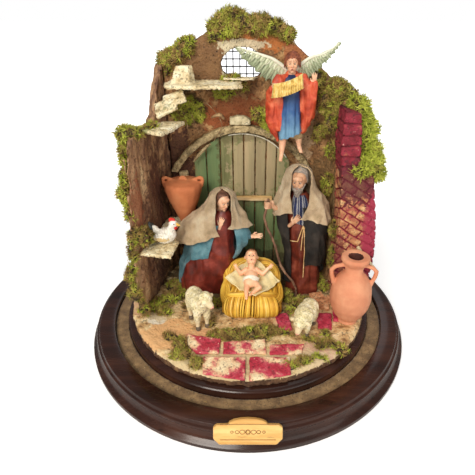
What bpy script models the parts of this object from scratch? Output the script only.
"""Nativity grotto on a round wooden base: a ruined cork wall with a planked door, a brick pier,
cloth-dressed figures, animals, vessels and moss, as it stands with its glass cover taken off.

Metres, +Z up, +Y away from the viewer. The origin is the centre of the base's underside.
"""

from math import atan2, cos, hypot, pi, radians, sin

import bmesh
import bpy
from mathutils import Matrix, Vector, noise

# General clearances
CLEARANCE = 0.0003          # between pieces that seat on each other
WALL_CLEARANCE = 0.0005     # between rough pieces

# Turned base
BASE_RADIUS = 0.125         # widest, at the foot
BASE_RING_RADIUS = 0.1192   # top outer edge of the ring
BASE_RING_HEIGHT = 0.0167
FOOT_BAND_HEIGHT = 0.0045
GROOVE_OUTER_RADIUS = 0.1073
GROOVE_INNER_RADIUS = 0.0968
GROOVE_FLOOR = 0.0125
LINING_THICKNESS = 0.0007
STAGE_HEIGHT = 0.0195       # top of the raised middle of the base
STAGE_EDGE_DROP = 0.0020
BASE_STEPS = 60

# Cork ground
GROUND_RADIUS = 0.0925
GROUND_THICKNESS = 0.0062
GROUND_STEPS = 48

# Name plate, left bare
PLATE_WIDTH = 0.040
PLATE_HEIGHT = 0.0152
PLATE_THICKNESS = 0.0028
PLATE_ARCH_WIDTH = 0.023
PLATE_ARCH_RISE = 0.0036
PLATE_CORNER = 0.0035
PLATE_STAND_OFF = 0.0003    # glue line between the plate and the bead behind it
PLATE_LIFT = 0.0055         # up the moulding's slope, from its middle

# Paving
PAVING_HEIGHT = 0.0015
PAVING_BEVEL = 0.0005

# Walls
WALL_FRONT_Y = 0.0460       # front face behind the door
WALL_THICKNESS = 0.0120
LEFT_WALL_HEIGHT = 0.1325   # where the upper shelf lies
BACK_WALL_HEIGHT = 0.2010   # at the crest
WALL_ROUGHNESS = 0.0022
FURROW_DEPTH = 0.0014       # of the bark's long furrows
BACK_RELIEF = 0.0016        # of the hollows in the back wall's rear face

# Window and grille
WINDOW_X = -0.0035
WINDOW_Z = 0.1965
WINDOW_HALF_WIDTH = 0.0165
WINDOW_HALF_HEIGHT = 0.0115
GRILLE_COLUMNS = 7
GRILLE_ROWS = 5
GRILLE_WIRE = 0.0008
GRILLE_MARGIN = 0.0020

# Door
DOOR_CENTRE_X = -0.0048
DOOR_WIDTH = 0.0780
DOOR_ARCH_RADIUS = 0.0436
DOOR_CROWN = 0.1475         # height of the arch's highest point
PLANK_THICKNESS = 0.0022
PLANK_GAP = 0.0006
PLANK_SHARES = (10.3, 11.3, 10.1, 8.8, 9.2, 8.8, 8.4, 11.1)
BATTEN_LENGTH = 0.0375
BATTEN_HEIGHT = 0.0042
BATTEN_DEPTH = 0.0030
BATTEN_X = 0.0018
BATTEN_Z = 0.0930

# Arch strip, its wire, keystone and left post
ARCH_STRIP_WIDTH = 0.0055
ARCH_STRIP_DEPTH = 0.0060
ARCH_LEFT_ANGLE = 167
ARCH_RIGHT_ANGLE = 18
ARCH_STEPS = 18
ARCH_SPREAD = 0.0085        # how far its ends stand off the door
ARCH_WIRE_DIAMETER = 0.0009
KEYSTONE_WIDTH = 0.0160
KEYSTONE_HEIGHT = 0.0068
KEYSTONE_DEPTH = 0.0070
POST_WIDTH = 0.0072
POST_DEPTH = 0.0055
POST_X = -0.0525
POST_TOP = 0.1165

# Ledges and shelves
LEDGE_Z = 0.1835
LEDGE_THICKNESS = 0.0030
LEDGE_BLOCK_HEIGHT = 0.0110
SILL_THICKNESS = 0.0018
SLAB_THICKNESS = 0.0030
UPPER_SHELF_THICKNESS = 0.0032
LOWER_SHELF_Z = 0.0770
LOWER_SHELF_THICKNESS = 0.0030

# Brick pier
PIER_FRONT_Y = -0.0090
PIER_DEPTH = 0.0225
PIER_HEIGHT = 0.1480
PIER_SHOULDER = 0.1040      # height of the broad lower part
BRICK_COURSE = 0.0074
BRICK_LENGTH = 0.0120
MORTAR_WIDTH = 0.0009
MORTAR_DEPTH = 0.0012
COURSE_SLOPE = radians(-33)

# Vessels
AMPHORA_HEIGHT = 0.0560
AMPHORA_RADIUS = 0.0150
AMPHORA_RIM_RADIUS = 0.0102
AMPHORA_MOUTH_RADIUS = 0.0048
AMPHORA_MOUTH_DEPTH = 0.0140
AMPHORA_HANDLE_THICKNESS = 0.0034
AMPHORA_X = 0.0745
AMPHORA_Y = -0.0350
JAR_HEIGHT = 0.0370
JAR_RADIUS = 0.0152
JAR_HANDLE_THICKNESS = 0.0030
JAR_X = -0.0508
JAR_Y = 0.0248

# Twig behind the large vessel
TWIG_DIAMETER = 0.0024
TWIG_LOW_X = 0.0985
TWIG_LOW_Z = 0.0560
TWIG_HIGH_X = 0.0820
TWIG_HIGH_Z = 0.0755

# Figures
KNEELING_HEIGHT = 0.0890
KNEELING_CORNER_X = -0.04716    # back left corner of the kneeling figure, in front of the jar
KNEELING_CORNER_Y = 0.02416
KNEELING_CORNER = 14.0          # from its middle to that corner, both ways, in its own mm
STANDING_HEIGHT = 0.1055
CLOTH_THICKNESS = 0.0009
CLOTH_GAP = 0.0006
MANTLE_GAP = 0.0010         # from the gown to the mantle over it
STAFF_DIAMETER = 0.0020
BELT_DIAMETER = 0.0009

# Manger of straw, the cloth on it and the child
STRAW_WIDTH = 0.0490
STRAW_X = 0.0030
STRAW_FRONT_Y = -0.0345
STRAW_DEPTH = 0.0450
STRAW_HEIGHT = 0.0300
STRAW_STRANDS = 12
STRAW_NARROWING = 0.28      # share of its width lost at the back
STRAND_RELIEF = 0.0011
SHEET_THICKNESS = 0.0008

INFANT_Y = -0.0110          # middle of the child's back
INFANT_LIFT = 0.0022        # of that point over the cloth

# Angel
ANGEL_X = 0.0300
ANGEL_Y = 0.0220
ANGEL_HEAD_Z = 0.1995
ANGEL_BACK = 0.0072         # from its middle to the wings' bar
WING_THICKNESS = 0.0020
ANGEL_PIN_DIAMETER = 0.0022
RIBBON_LENGTH = 0.0250
RIBBON_HEIGHT = 0.0105
RIBBON_PLEATS = 11
RIBBON_THICKNESS = 0.0008

# Animals
SHEEP_LENGTH = 0.0240
HEN_LENGTH = 0.0200

# Moss
MOSS_HEIGHT = 0.0065
MOSS_CLEARANCE = 0.0005
MOSS_FRONT = 0.0055

MM = 0.001
GROUND_BOTTOM = STAGE_HEIGHT + CLEARANCE
GROUND_TOP = GROUND_BOTTOM + GROUND_THICKNESS
STANDING_LEVEL = GROUND_TOP + CLEARANCE

# Material looks: colour, roughness, metallic
FINISHES = {
    "dark_wood": ((0.045, 0.022, 0.017), 0.28, 0.0),
    "felt": ((0.30, 0.20, 0.10), 0.95, 0.0),
    "cork_ground": ((0.20, 0.12, 0.07), 0.95, 0.0),
    "cork_bark": ((0.22, 0.12, 0.07), 0.95, 0.0),
    "plaster": ((0.50, 0.33, 0.20), 0.95, 0.0),
    "cream_cork": ((0.68, 0.60, 0.40), 0.90, 0.0),
    "plate_wood": ((0.78, 0.48, 0.18), 0.55, 0.0),
    "red_brick": ((0.28, 0.05, 0.05), 0.85, 0.0),
    "red_paving": ((0.62, 0.16, 0.17), 0.85, 0.0),
    "green_plank": ((0.20, 0.22, 0.12), 0.80, 0.0),
    "wire": ((0.30, 0.30, 0.30), 0.45, 1.0),
    "terracotta": ((0.66, 0.29, 0.17), 0.75, 0.0),
    "bare_twig": ((0.32, 0.22, 0.14), 0.85, 0.0),
    "skin": ((0.72, 0.42, 0.30), 0.55, 0.0),
    "oxblood": ((0.14, 0.02, 0.02), 0.38, 0.0),
    "teal": ((0.05, 0.20, 0.27), 0.60, 0.0),
    "black_cloth": ((0.02, 0.02, 0.02), 0.55, 0.0),
    "linen": ((0.38, 0.31, 0.22), 0.95, 0.0),
    "string": ((0.52, 0.36, 0.18), 0.90, 0.0),
    "orange_mantle": ((0.70, 0.10, 0.03), 0.50, 0.0),
    "wing": ((0.55, 0.57, 0.46), 0.60, 0.0),
    "gilt": ((0.72, 0.50, 0.16), 0.35, 1.0),
    "straw": ((0.70, 0.45, 0.03), 0.65, 0.0),
    "cream_cloth": ((0.82, 0.72, 0.48), 0.85, 0.0),
    "fleece": ((0.80, 0.76, 0.62), 0.85, 0.0),
    "white_feather": ((0.85, 0.84, 0.80), 0.60, 0.0),
    "moss": ((0.16, 0.20, 0.03), 1.0, 0.0),
    "moss_bright": ((0.38, 0.48, 0.08), 1.0, 0.0),
}


def clear_scene():
    """Remove the objects that a new file starts with."""
    for obj in list(bpy.data.objects):
        bpy.data.objects.remove(obj, do_unlink=True)


def material(finish):
    """The Principled material of a finish, made once."""
    found = bpy.data.materials.get(finish)
    if found:
        return found
    colour, roughness, metallic = FINISHES[finish]
    made = bpy.data.materials.new(finish)
    made.use_nodes = True
    shader = made.node_tree.nodes["Principled BSDF"]
    shader.inputs["Base Color"].default_value = (*colour, 1.0)
    shader.inputs["Roughness"].default_value = roughness
    shader.inputs["Metallic"].default_value = metallic
    return made


def add_object(name, mesh, finish, parent=None, smooth=True):
    """Link a mesh as a named object, with its faces turned out and shaded."""
    work = bmesh.new()
    work.from_mesh(mesh)
    bmesh.ops.remove_doubles(work, verts=work.verts, dist=1e-6)
    bmesh.ops.recalc_face_normals(work, faces=work.faces)
    if work.calc_volume(signed=True) < 0:
        bmesh.ops.reverse_faces(work, faces=work.faces)
    work.to_mesh(mesh)
    work.free()
    obj = bpy.data.objects.new(name, mesh)
    bpy.context.scene.collection.objects.link(obj)
    mesh.materials.clear()
    mesh.materials.append(material(finish))
    if smooth:
        mesh.shade_smooth()
        mesh.set_sharp_from_angle(angle=radians(40))
    if parent:
        obj.parent = parent
    return obj


def mesh_from(name, points, faces):
    """A mesh from points and faces."""
    mesh = bpy.data.meshes.new(name)
    mesh.from_pydata([tuple(point) for point in points], [], faces)
    mesh.update()
    return mesh


def empty(name, place):
    """A frame that the pieces of one figure hang on."""
    frame = bpy.data.objects.new(name, None)
    bpy.context.scene.collection.objects.link(frame)
    frame.location = place
    return frame


def apply_modifiers(obj):
    """Replace an object's mesh by the mesh that its modifiers give."""
    bpy.context.view_layer.update()
    graph = bpy.context.evaluated_depsgraph_get()
    made = bpy.data.meshes.new_from_object(obj.evaluated_get(graph))
    old = obj.data
    obj.modifiers.clear()
    obj.data = made
    made.name = obj.name
    bpy.data.meshes.remove(old)
    return obj


def boolean(obj, cutter, operation):
    """Cut an object with a helper, or join the helper to it, and drop the helper."""
    modifier = obj.modifiers.new(operation.title(), "BOOLEAN")
    modifier.operation = operation
    modifier.solver = "EXACT"
    modifier.object = cutter
    apply_modifiers(obj)
    bpy.data.objects.remove(cutter, do_unlink=True)
    return obj


def bevelled(obj, width, segments=1, angle=35):
    """Round an object's sharp edges."""
    modifier = obj.modifiers.new("Bevel", "BEVEL")
    modifier.width = width
    modifier.segments = segments
    modifier.limit_method = "ANGLE"
    modifier.angle_limit = radians(angle)
    return apply_modifiers(obj)


def turned(name, profile, steps, finish, parent=None):
    """A solid turned about Z from a (radius, height) profile that starts and ends on the axis."""
    work = bmesh.new()
    points = [work.verts.new((radius, 0.0, height)) for radius, height in profile]
    edges = [work.edges.new(pair) for pair in zip(points, points[1:])]
    closed_ring = profile[0][0] > 0 and profile[-1][0] > 0
    if closed_ring:
        edges.append(work.edges.new((points[-1], points[0])))
    bmesh.ops.spin(
        work, geom=points + edges, axis=(0, 0, 1), cent=(0, 0, 0), steps=steps,
        angle=2 * pi, use_duplicate=False,
    )
    bmesh.ops.remove_doubles(work, verts=work.verts, dist=1e-6)
    mesh = bpy.data.meshes.new(name)
    work.to_mesh(mesh)
    work.free()
    return add_object(name, mesh, finish, parent)


def extruded(name, outline, low, high, finish, parent=None, bevel=0.0, smooth=False):
    """A flat outline in XY drawn up from one height to another."""
    count = len(outline)
    points = [(x, y, low) for x, y in outline] + [(x, y, high) for x, y in outline]
    faces = [tuple(reversed(range(count))), tuple(range(count, 2 * count))]
    for index in range(count):
        after = (index + 1) % count
        faces.append((index, after, count + after, count + index))
    obj = add_object(name, mesh_from(name, points, faces), finish, parent, smooth)
    if bevel:
        bevelled(obj, bevel)
    return obj


def block(name, centre, size, finish, rotation=(0, 0, 0), bevel=0.0):
    """A box of a given size, turned about its centre."""
    half = [length / 2 for length in size]
    outline = [(-half[0], -half[1]), (half[0], -half[1]), (half[0], half[1]), (-half[0], half[1])]
    obj = extruded(name, outline, -half[2], half[2], finish, bevel=bevel)
    obj.location = centre
    obj.rotation_euler = rotation
    return obj


def joined(objects, name):
    """Union several overlapping objects into the first one."""
    first = objects[0]
    for other in objects[1:]:
        boolean(first, other, "UNION")
    first.name = name
    first.data.name = name
    return first


def loft(name, rings, finish, parent=None, smooth=True):
    """A solid through closed rings of equally many points, capped at both ends."""
    count = len(rings[0])
    points = [point for ring in rings for point in ring]
    faces = [tuple(range(count)), tuple(reversed(range(len(points) - count, len(points))))]
    for row in range(len(rings) - 1):
        for column in range(count):
            after = (column + 1) % count
            low, high = row * count, (row + 1) * count
            faces.append((low + column, high + column, high + after, low + after))
    return add_object(name, mesh_from(name, points, faces), finish, parent, smooth)


def sheet_solid(name, front, back, finish, parent=None):
    """A closed solid between two grids of points, stitched along its four borders."""
    rows, columns = len(front), len(front[0])
    points = [p for row in front for p in row] + [p for row in back for p in row]
    offset = rows * columns
    faces = []
    for row in range(rows - 1):
        for column in range(columns - 1):
            a = row * columns + column
            quad = (a, a + 1, a + columns + 1, a + columns)
            faces.append(quad)
            faces.append(tuple(index + offset for index in reversed(quad)))
    border = [column for column in range(columns)]
    border += [row * columns + columns - 1 for row in range(1, rows)]
    border += [(rows - 1) * columns + column for column in range(columns - 2, -1, -1)]
    border += [row * columns for row in range(rows - 2, 0, -1)]
    for here, after in zip(border, border[1:] + border[:1]):
        if points[here] == points[after]:
            continue
        faces.append((here, here + offset, after + offset, after))
    return add_object(name, mesh_from(name, points, faces), finish, parent)


def round_section(centre, across, up, radius, sides):
    """A ring of points about a centre, in the plane of two unit vectors."""
    ring = []
    for step in range(sides):
        angle = 2 * pi * step / sides
        ring.append(centre + across * (radius * cos(angle)) + up * (radius * sin(angle)))
    return ring


def tube(name, points, radii, sides, finish, parent=None):
    """A round bar through points, with a radius at each of them."""
    points = [Vector(point) for point in points]
    rings = []
    across = None
    for index, point in enumerate(points):
        before = points[max(index - 1, 0)]
        after = points[min(index + 1, len(points) - 1)]
        along = (after - before).normalized()
        if across is None:
            across = along.orthogonal().normalized()
        across = (across - along * across.dot(along)).normalized()
        up = along.cross(across)
        rings.append(round_section(point, across, up, radii[index], sides))
    return loft(name, rings, finish, parent)


def cord_curve(name, route, diameter, finish, spacing=2.5):
    """A cord along a smooth curve through its route's points, as a bevelled curve with filled caps."""
    data = bpy.data.curves.new(name, "CURVE")
    data.dimensions = "3D"
    data.bevel_depth = diameter / 2
    data.bevel_resolution = 2
    data.use_fill_caps = True
    points = smooth_route(route, diameter * spacing)
    spline = data.splines.new("POLY")
    spline.points.add(len(points) - 1)
    for target, point in zip(spline.points, points):
        target.co = (*point, 1.0)
    data.materials.append(material(finish))
    obj = bpy.data.objects.new(name, data)
    bpy.context.scene.collection.objects.link(obj)
    return obj


def smooth_route(route, step):
    """Points every step along a Catmull-Rom curve through the route."""
    route = [Vector(point) for point in route]
    ends = [2 * route[0] - route[1]] + route + [2 * route[-1] - route[-2]]
    fine = []
    for index in range(1, len(ends) - 2):
        p0, p1, p2, p3 = ends[index - 1:index + 3]
        for part in range(24):
            t = part / 24
            fine.append(0.5 * (
                2 * p1 + (p2 - p0) * t + (2 * p0 - 5 * p1 + 4 * p2 - p3) * t * t
                + (3 * p1 - p0 - 3 * p2 + p3) * t ** 3
            ))
    fine.append(route[-1])
    total = sum((b - a).length for a, b in zip(fine, fine[1:]))
    count = max(2, round(total / step))
    wanted = [total * index / count for index in range(count + 1)]
    points = [fine[0]]
    walked = 0.0
    for a, b in zip(fine, fine[1:]):
        length = (b - a).length
        while len(points) <= count and wanted[len(points)] <= walked + length + 1e-9:
            share = (wanted[len(points)] - walked) / max(length, 1e-9)
            points.append(a.lerp(b, min(max(share, 0.0), 1.0)))
        walked += length
    return points


def ellipsoid(centre, radii, rotation=(0, 0, 0)):
    """A blob of modelling clay: centre, three radii and a turn in degrees."""
    return ("ball", Vector(centre), Vector(radii), tuple(radians(a) for a in rotation))


def limb(start, end, start_radius, end_radius):
    """A tapered limb with round ends between two points."""
    return ("limb", Vector(start), Vector(end), (start_radius, end_radius))


def add_blob(work, blob):
    """Add one blob to a mesh that is being modelled."""
    kind, first, second, extra = blob
    if kind == "ball":
        made = bmesh.ops.create_icosphere(work, subdivisions=2, radius=1.0)
        turn = Matrix.Rotation(extra[2], 4, "Z") @ Matrix.Rotation(extra[1], 4, "Y")
        turn = turn @ Matrix.Rotation(extra[0], 4, "X")
        place = Matrix.Translation(first) @ turn @ Matrix.Diagonal((*second, 1.0))
        bmesh.ops.transform(work, matrix=place, verts=made["verts"])
        return
    along = second - first
    turn = along.to_track_quat("Z", "Y").to_matrix().to_4x4()
    made = bmesh.ops.create_cone(
        work, cap_ends=True, segments=12, radius1=extra[0], radius2=extra[1], depth=along.length
    )
    middle = (first + second) / 2
    bmesh.ops.transform(work, matrix=Matrix.Translation(middle) @ turn, verts=made["verts"])
    for centre, radius in ((first, extra[0]), (second, extra[1])):
        made = bmesh.ops.create_icosphere(work, subdivisions=2, radius=radius)
        bmesh.ops.translate(work, verts=made["verts"], vec=centre)


def moulded(name, blobs, finish, voxel, faces, parent=None, floor=None):
    """Blobs fused into one moulded skin, then simplified to about the given number of triangles."""
    work = bmesh.new()
    for blob in blobs:
        add_blob(work, blob)
    mesh = bpy.data.meshes.new(name)
    work.to_mesh(mesh)
    work.free()
    obj = bpy.data.objects.new(name, mesh)
    bpy.context.scene.collection.objects.link(obj)
    remesh = obj.modifiers.new("Remesh", "REMESH")
    remesh.mode = "VOXEL"
    remesh.voxel_size = voxel
    apply_modifiers(obj)
    found = sum(len(polygon.vertices) - 2 for polygon in obj.data.polygons)
    decimate = obj.modifiers.new("Decimate", "DECIMATE")
    decimate.ratio = min(1.0, faces / found)
    apply_modifiers(obj)
    if floor is not None:
        flatten_below(obj.data, floor)
    mesh = obj.data
    bpy.data.objects.remove(obj, do_unlink=True)
    return add_object(name, mesh, finish, parent)


def flatten_below(mesh, level):
    """Cut a mesh flat at a level and close the cut."""
    work = bmesh.new()
    work.from_mesh(mesh)
    cut = bmesh.ops.bisect_plane(
        work, geom=work.verts[:] + work.edges[:] + work.faces[:], dist=1e-7,
        plane_co=(0, 0, level), plane_no=(0, 0, -1), clear_outer=True,
    )
    edges = [item for item in cut["geom_cut"] if isinstance(item, bmesh.types.BMEdge)]
    bmesh.ops.holes_fill(work, edges=edges, sides=0)
    work.to_mesh(mesh)
    work.free()


def wobble(x, y, z, scale, seed=0.0):
    """Smooth unevenness between -1 and 1 that is the same on every run."""
    return noise.noise(Vector((x / scale + seed, y / scale - seed, z / scale + 2 * seed)))


# Base, ground and paving


def moulding_profile():
    """The base's outer moulding from the foot band to the ring, as radii and heights."""
    ring = BASE_RING_RADIUS
    foot = FOOT_BAND_HEIGHT
    rise = BASE_RING_HEIGHT - foot
    slope = BASE_RADIUS - ring
    return [
        (BASE_RADIUS, 0.0012),
        (BASE_RADIUS, foot - 0.0008),
        (BASE_RADIUS - 0.0008, foot),
        (ring + 0.42 * slope, foot + 0.16 * rise),
        (ring + 0.22 * slope, foot + 0.38 * rise),
        (ring + 0.17 * slope, foot + 0.56 * rise),
        (ring + 0.34 * slope, foot + 0.62 * rise),
        (ring + 0.34 * slope, foot + 0.74 * rise),
        (ring + 0.05 * slope, foot + 0.82 * rise),
        (ring, foot + 0.90 * rise),
        (ring - 0.0012, BASE_RING_HEIGHT),
    ]


def build_base():
    """The turned base: foot band, cove and bead, flat ring, groove for the cover, raised stage."""
    profile = [(0.0, 0.0), (BASE_RADIUS - 0.0015, 0.0)] + moulding_profile() + [
        (GROOVE_OUTER_RADIUS + 0.0008, BASE_RING_HEIGHT),
        (GROOVE_OUTER_RADIUS, BASE_RING_HEIGHT - 0.0008),
        (GROOVE_OUTER_RADIUS, GROOVE_FLOOR),
        (GROOVE_INNER_RADIUS, GROOVE_FLOOR),
        (GROOVE_INNER_RADIUS, STAGE_HEIGHT - STAGE_EDGE_DROP),
        (GROOVE_INNER_RADIUS - 0.0014, STAGE_HEIGHT - 0.4 * STAGE_EDGE_DROP),
        (GROOVE_INNER_RADIUS - 0.0026, STAGE_HEIGHT),
        (0.0, STAGE_HEIGHT),
    ]
    turned("base_plinth", profile, BASE_STEPS, "dark_wood")
    low = GROOVE_FLOOR + CLEARANCE
    inner = GROOVE_INNER_RADIUS + CLEARANCE
    outer = GROOVE_OUTER_RADIUS - CLEARANCE
    high = low + LINING_THICKNESS
    turned("groove_lining", [(inner, low), (outer, low), (outer, high), (inner, high)], BASE_STEPS, "felt")


def build_ground():
    """The rough cork disc that carries the scene."""
    rings = []
    for height, inset, rough in ((0.0, 0.0, 0.4), (0.45, 0.0, 1.0), (0.8, 0.0006, 1.0), (1.0, 0.0020, 0.5)):
        ring = []
        for step in range(GROUND_STEPS):
            angle = 2 * pi * step / GROUND_STEPS
            uneven = 0.0011 * rough * wobble(3 * cos(angle), 3 * sin(angle), height, 1.0, 5.0)
            radius = GROUND_RADIUS - inset + uneven
            z = GROUND_BOTTOM + height * GROUND_THICKNESS
            ring.append(Vector((radius * cos(angle), radius * sin(angle), z)))
        rings.append(ring)
    loft("ground_board", rings, "cork_ground", smooth=False)


def build_plate():
    """A bare plate with an arched head, leaning on the moulding of the base."""
    half, low = PLATE_WIDTH / 2, -PLATE_HEIGHT / 2
    shoulder = PLATE_HEIGHT / 2 - PLATE_ARCH_RISE
    corner = PLATE_CORNER
    outline = [(-half + corner, low), (half - corner, low), (half, low + corner)]
    outline += [(half, shoulder - corner * 0.4), (half - corner * 0.6, shoulder)]
    for step in range(9):
        angle = pi * step / 8
        x = PLATE_ARCH_WIDTH / 2 * cos(angle)
        outline.append((x, shoulder + PLATE_ARCH_RISE * sin(angle) + 0.0002))
    outline += [(-half + corner * 0.6, shoulder), (-half, shoulder - corner * 0.4), (-half, low + corner)]
    obj = extruded("name_plate", outline, 0.0, PLATE_THICKNESS, "plate_wood", bevel=0.0004)
    lean_in = BASE_RADIUS - BASE_RING_RADIUS
    lean_up = BASE_RING_HEIGHT - FOOT_BAND_HEIGHT
    tilt = atan2(lean_up, lean_in)
    outward = Vector((0, -sin(tilt), cos(tilt)))
    middle_z = FOOT_BAND_HEIGHT + lean_up / 2 + PLATE_LIFT * sin(tilt)
    middle_y = -(BASE_RING_RADIUS + BASE_RADIUS) / 2 + PLATE_LIFT * cos(tilt)
    middle = Vector((0, middle_y, middle_z))
    reach = max((Vector((0, -radius, height)) - middle).dot(outward) for radius, height in moulding_profile())
    obj.rotation_euler = (tilt, 0, 0)
    obj.location = middle + outward * (reach + PLATE_STAND_OFF)


PAVING = {
    "paving_front_left": ((-30, -74), (-1.6, -74), (-1.6, -89.0), (-29, -85.0)),
    "paving_front_right": ((0.8, -74), (28, -74.5), (27.5, -85.5), (0.8, -89.2)),
    "paving_mid_left": ((-43.5, -52), (-19.2, -57), (-19.2, -71.4), (-35, -71.4), (-42, -62)),
    "paving_mid_centre": ((-17, -60), (12.4, -57), (12.4, -71.4), (-17, -71.4)),
    "paving_mid_right": ((14.6, -62.5), (39, -62), (36.5, -72), (14.6, -72)),
    "paving_right": ((51.5, -27.5), (64, -29), (61, -47.5), (51.5, -46)),
}


def build_paving():
    """Flat setts of the front paving, each with a worn edge."""
    for name, corners in PAVING.items():
        outline = [(x * MM, y * MM) for x, y in reversed(corners)]
        top = STANDING_LEVEL + PAVING_HEIGHT
        extruded(name, outline, STANDING_LEVEL, top, "red_paving", bevel=PAVING_BEVEL)


# Walls

# Each station: inner x, inner y, outer x, outer y in mm, top as a share of the wall's height, lean
LEFT_STATIONS = (
    (-80.5, -32.0, -86.5, -30.0, 0.93, 1.0),
    (-76.5, -17.0, -89.0, -16.0, 1.00, 1.0),
    (-73.0, -2.0, -90.0, -1.0, 1.00, 1.0),
    (-71.5, 12.0, -88.0, 17.0, 1.00, 1.0),
    (-70.0, 23.0, -83.5, 34.0, 1.03, 0.8),
    (-67.0, 35.0, -77.0, 48.0, 1.20, 0.4),
    (-62.5, 45.5, -70.0, 58.0, 1.29, 0.0),
)
LEFT_LEAN = 0.100           # share of x that the outer face loses per 100 mm of height
INNER_LEAN = 0.030          # the same for the inner face
# Each station: inner x, inner y past the front face, outer x, outer y past it, top share
BACK_STATIONS = (
    (-61.6, 0.0, -69.0, 12.0, 0.840),
    (-50.0, 0.0, -52.0, 12.0, 0.890),
    (-38.0, 0.0, -39.0, 12.0, 0.925),
    (-28.0, 0.0, -28.0, 12.0, 0.955),
    (-16.0, 0.0, -16.0, 12.0, 0.985),
    (-4.0, 0.0, -4.0, 12.0, 1.000),
    (9.0, 0.0, 9.0, 12.0, 0.998),
    (22.0, 0.0, 22.0, 12.0, 0.965),
    (33.0, 0.0, 34.0, 12.0, 0.915),
    (50.0, 0.0, 53.5, 12.0, 0.840),
    (58.5, -8.0, 65.0, 1.5, 0.790),
    (64.0, -18.5, 73.0, -11.0, 0.768),
    (67.0, -28.5, 77.5, -25.0, 0.745),
)
WALL_ROWS = 7


def station_column(inner, outer, top, lean, furrow=0.0):
    """Inner and outer columns of points at one station of a wall, drawn in where a furrow runs."""
    fronts, backs = [], []
    for row in range(WALL_ROWS + 1):
        share = row / WALL_ROWS
        z = STANDING_LEVEL + share * (top - STANDING_LEVEL)
        shrink = 1 - lean * LEFT_LEAN * (z - STANDING_LEVEL) / 0.1
        carve = 1 - lean * INNER_LEAN * (z - STANDING_LEVEL) / 0.1
        swell = WALL_ROUGHNESS * wobble(outer.x, outer.y, z, 0.018, 3.0)
        swell *= min(1.0, 4 * (1 - share))
        depth = furrow * (0.75 + 0.5 * wobble(outer.x, outer.y, z, 0.030, 5.0))
        depth *= min(1.0, 4 * (1 - share))
        across = (outer - inner).normalized()
        away = across * (swell - depth)
        into = across * depth
        fronts.append(Vector((inner.x * carve + into.x, inner.y + into.y, z)))
        backs.append(Vector((outer.x * shrink + away.x, outer.y + away.y, z)))
    return fronts, backs


def furrowed_stations():
    """The left wall's stations with a furrow between each two, as (station, depth)."""
    made = []
    for one, two in zip(LEFT_STATIONS, LEFT_STATIONS[1:]):
        between = tuple((a + b) / 2 for a, b in zip(one, two))
        made += [(one, 0.0), (between, FURROW_DEPTH)]
    return made + [(LEFT_STATIONS[-1], 0.0)]


def left_wall_grids():
    """Point grids of the left wall's inner and outer faces, ribbed like cork bark."""
    fronts, backs = [], []
    for (in_x, in_y, out_x, out_y, top, lean), furrow in furrowed_stations():
        height = STANDING_LEVEL + top * LEFT_WALL_HEIGHT
        columns = station_column(
            Vector((in_x * MM, in_y * MM)), Vector((out_x * MM, out_y * MM)), height, lean, furrow
        )
        fronts.append(columns[0])
        backs.append(columns[1])
    return fronts, backs


def back_wall_grids():
    """Point grids of the back wall's front and back faces."""
    share = WALL_THICKNESS / 0.012
    fronts, backs = [], []
    for in_x, in_y, out_x, out_y, top in BACK_STATIONS:
        height = STANDING_LEVEL + top * BACK_WALL_HEIGHT
        inner = Vector((in_x * MM, WALL_FRONT_Y + in_y * MM))
        outer = inner + (Vector((out_x * MM, WALL_FRONT_Y + out_y * MM)) - inner) * share
        columns = station_column(inner, outer, height, 0.0)
        fronts.append(columns[0])
        backs.append([rear_point(p, outer.y) for p in columns[1]] if abs(in_x) < 40 else columns[1])
    return fronts, backs


def rear_point(point, rear):
    """A point of the back wall's rear face: hollowed below the window, flat where the grille lies."""
    grille_low = WINDOW_Z - WINDOW_HALF_HEIGHT - 2 * GRILLE_MARGIN
    hollow = 0.0
    if point.z < grille_low:
        hollow = BACK_RELIEF * (0.5 + 0.9 * wobble(point.x, 0.0, point.z, 0.024, 4.0))
    return Vector((point.x, rear - max(0.0, hollow), point.z))


def build_walls():
    """Left wall, and back wall with its oval window."""
    fronts, backs = left_wall_grids()
    sheet_solid("left_wall", fronts, backs, "cork_bark")
    fronts, backs = back_wall_grids()
    wall = sheet_solid("back_wall", fronts, backs, "plaster")
    count = 20
    outline = []
    for step in range(count):
        angle = 2 * pi * step / count
        outline.append((WINDOW_HALF_WIDTH * cos(angle), WINDOW_HALF_HEIGHT * sin(angle)))
    cutter = extruded("window_cutter", outline, -0.03, 0.03, "plaster")
    cutter.rotation_euler = (pi / 2, 0, 0)
    cutter.location = (WINDOW_X, WALL_FRONT_Y + WALL_THICKNESS / 2, WINDOW_Z)
    boolean(wall, cutter, "DIFFERENCE")


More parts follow.
